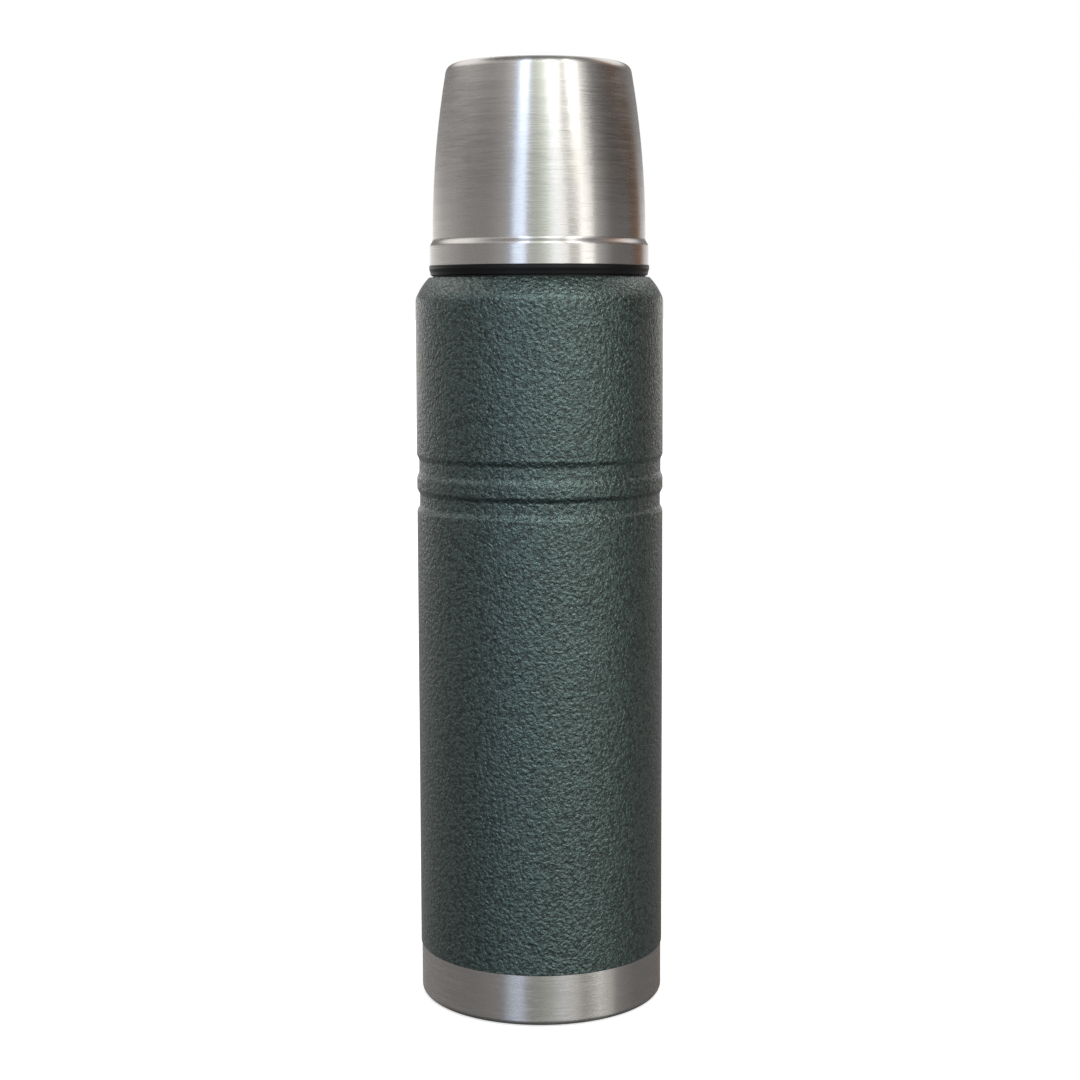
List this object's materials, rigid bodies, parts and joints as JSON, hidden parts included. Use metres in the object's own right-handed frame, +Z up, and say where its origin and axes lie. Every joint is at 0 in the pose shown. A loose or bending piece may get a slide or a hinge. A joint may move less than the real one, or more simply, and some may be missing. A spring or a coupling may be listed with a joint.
{
  "type": "vacuum flask",
  "caption": "Cylindrical double-wall steel vacuum flask with a screw-on steel cup, black liner ring, rolled grooves, bare steel base band and a push-button pour-through stopper.",
  "frame": {"origin": "centre of the underside of the foot pad, on the surface the flask stands on", "axes": "+Z up along the flask's axis; the flask is a body of revolution, and -Y faces the camera of the picture"},
  "size_m": [0.085, 0.085, 0.322],
  "materials": {
    "hammertone": "hammertone powder coat, dark green-grey, semi-gloss",
    "brushed_steel": "fine circumferential brushing",
    "vessel_steel": "plain rolled stainless sheet",
    "foot_silicone": "matt silicone",
    "seal_glass": "brown sealing bead",
    "getter_grey": "matt grey sintered getter",
    "copper_foil": "bright copper foil",
    "black_plastic": "black polypropylene, satin",
    "button_plastic": "dark grey polypropylene, satin",
    "seal_silicone": "dark grey silicone",
    "black_rubber": "black silicone",
    "foam": "expanded foam",
    "spring_steel": "bright spring wire"
  },
  "bodies": {
    "flask": {"outer_shell": "hammertone", "base_cup": "brushed_steel", "base_pad": "foot_silicone", "outer_bottom": "vessel_steel", "vacuum_seal": "seal_glass", "getter": "getter_grey", "inner_vessel": "vessel_steel", "inner_bottom": "vessel_steel", "copper_shield": "copper_foil", "neck_collar": "black_plastic"},
    "cup_seal": {"cup_gasket": "black_rubber"},
    "cup": {"cup_shell": "brushed_steel", "cup_liner": "black_plastic"},
    "stopper_seal": {"stopper_gasket": "seal_silicone"},
    "stopper": {"stopper_body": "black_plastic", "stopper_core": "black_plastic", "core_foam": "foam", "spring_plate": "black_plastic", "stopper_cap": "black_plastic", "stem_seal": "seal_silicone", "button_spring": "spring_steel"},
    "button": {"pour_button": "button_plastic", "valve_stem": "vessel_steel", "valve_disc": "black_plastic", "valve_seal": "seal_silicone", "valve_nut": "vessel_steel"}
  },
  "joints": [
    {"name": "cup_rise", "type": "slide", "parent": "flask", "child": "cup_seal", "axis": [0, 0, 1], "range_m": [0, 0.04]},
    {"name": "cup_turn", "type": "hinge", "parent": "cup_seal", "child": "cup", "pos_m": [0, 0, 0.25], "axis": [0, 0, 1], "range_deg": [0, 1800]},
    {"name": "stopper_rise", "type": "slide", "parent": "flask", "child": "stopper_seal", "axis": [0, 0, 1], "range_m": [0, 0.0295]},
    {"name": "stopper_turn", "type": "hinge", "parent": "stopper_seal", "child": "stopper", "pos_m": [0, 0, 0.25], "axis": [0, 0, 1], "range_deg": [0, 1062]},
    {"name": "button_press", "type": "slide", "parent": "stopper", "child": "button", "axis": [0, 0, -1], "range_m": [0, 0.0035], "stiffness_N_per_m": 900, "springref_m": -0.003, "deforming": ["button_spring"]}
  ],
  "couplings": [
    {"joint": "cup_turn", "follows": "cup_rise", "rad_per_m": 785.4},
    {"joint": "stopper_turn", "follows": "stopper_rise", "rad_per_m": 628.32}
  ]
}
